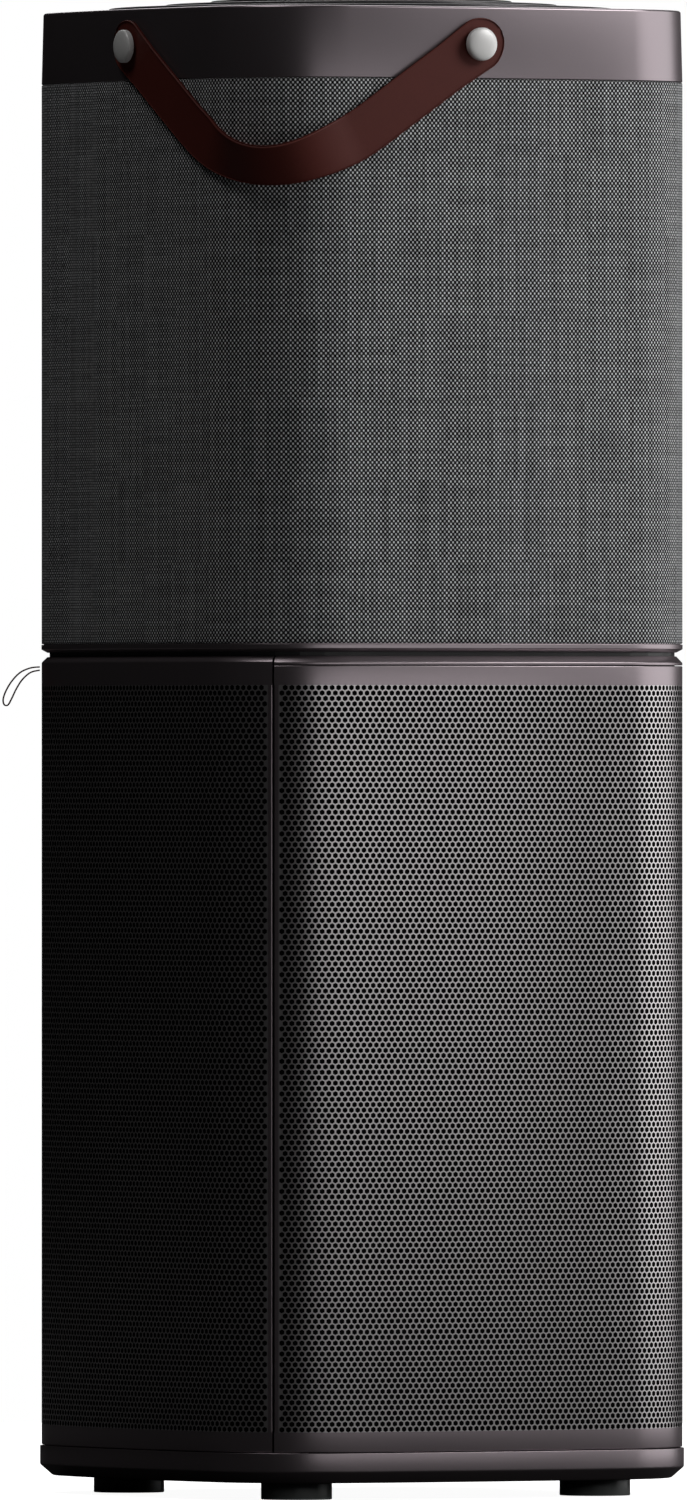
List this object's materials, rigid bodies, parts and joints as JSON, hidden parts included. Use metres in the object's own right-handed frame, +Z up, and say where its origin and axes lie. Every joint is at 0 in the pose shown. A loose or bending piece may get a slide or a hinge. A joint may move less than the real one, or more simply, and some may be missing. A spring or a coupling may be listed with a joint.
{
  "type": "tower air purifier",
  "caption": "Rounded-square tower air purifier: perforated filter bay below, woven fan chamber above, stepped round outlet, leather carrying strap and a pull-off door.",
  "frame": {"origin": "on the floor, at the middle of the column's plan", "axes": "+Z up; the strap wraps the corner at -X -Y, the filter door wraps the corner at -X +Y, the fixed shell wraps the corner at +X -Y"},
  "size_m": [0.28, 0.28, 0.7317],
  "materials": {
    "body_paint": "satin metallic taupe",
    "painted_plastic": "satin metallic taupe",
    "fabric": "coarse melange weave",
    "leather": "smooth, waxed",
    "satin_metal": "satin",
    "black_plastic": "matt",
    "grey_plastic": "matt",
    "light_plastic": "matt",
    "filter_media": "pleated paper",
    "carbon": "open foam",
    "rubber": "smooth",
    "glass": "gloss black",
    "diffuser": "frosted",
    "board": "solder mask",
    "steel": "plated"
  },
  "bodies": {
    "cabinet": {"front_shell": "body_paint", "base_tray": "painted_plastic", "front_rim": "painted_plastic", "lower_trim": "painted_plastic", "lid": "painted_plastic", "panel_bezel": "painted_plastic", "fabric_cover": "fabric", "strap_end_left": "leather", "strap_end_right": "leather", "stud_left": "satin_metal", "stud_right": "satin_metal", "power_inlet": "black_plastic", "mid_deck": "black_plastic", "inlet_cone": "black_plastic", "motor_mount": "black_plastic", "guide_vanes": "black_plastic", "outlet_ring_1": "black_plastic", "outlet_ring_2": "black_plastic", "outlet_ring_3": "black_plastic", "outlet_spider": "black_plastic", "board_cover": "black_plastic", "wiring_loom": "black_plastic", "post_front": "grey_plastic", "post_right": "grey_plastic", "post_rear": "grey_plastic", "fan_duct": "grey_plastic", "sleeve": "grey_plastic", "motor_can": "grey_plastic", "air_sensor": "grey_plastic", "foot_front": "rubber", "foot_left": "rubber", "foot_rear": "rubber", "foot_right": "rubber", "touch_glass": "glass", "light_ring": "diffuser", "control_board": "board", "power_board": "board", "inlet_guard": "steel", "bearing_lower": "steel", "bearing_upper": "steel", "stator": "steel", "stud_nut_left": "steel", "stud_nut_right": "steel"},
    "door": {"door_shell": "body_paint", "door_magnet_front": "steel", "door_magnet_rear": "steel", "tab_anchor": "black_plastic"},
    "tab": {"pull_tab": "leather"},
    "filter": {"filter_bottom_cap": "light_plastic", "filter_top_cap": "light_plastic", "prefilter_mesh": "fabric", "filter_pleats": "filter_media", "carbon_layer": "carbon", "filter_seal": "rubber", "filter_pull": "fabric"},
    "fan": {"impeller": "black_plastic", "motor_shaft": "steel", "rotor_magnet": "steel"},
    "strap": {"strap_loop": "leather"}
  },
  "joints": [
    {"name": "fan_spin", "type": "hinge", "parent": "cabinet", "child": "fan", "pos_m": [0, 0, 0.54], "axis": [0, 0, 1], "continuous": true},
    {"name": "strap_swing", "type": "hinge", "parent": "cabinet", "child": "strap", "pos_m": [-0.07608, -0.07608, 0.7078], "axis": [-0.7071, 0.7071, 0], "range_deg": [0, 130]},
    {"name": "door_slide", "type": "slide", "parent": "cabinet", "child": "door", "axis": [-0.7071, 0.7071, 0], "range_m": [0, 0.4]},
    {"name": "filter_slide", "type": "slide", "parent": "cabinet", "child": "filter", "axis": [-0.7071, 0.7071, 0], "range_m": [0, 0.28]},
    {"name": "tab_flex", "type": "hinge", "parent": "door", "child": "tab", "pos_m": [-0.12426, 0.10139, 0.4047], "axis": [0.4924, 0.8704, 0], "range_deg": [0, 50]}
  ],
  "couplings": [
    {"joint": "filter_slide", "follows": "door_slide", "ratio": 0.7}
  ]
}
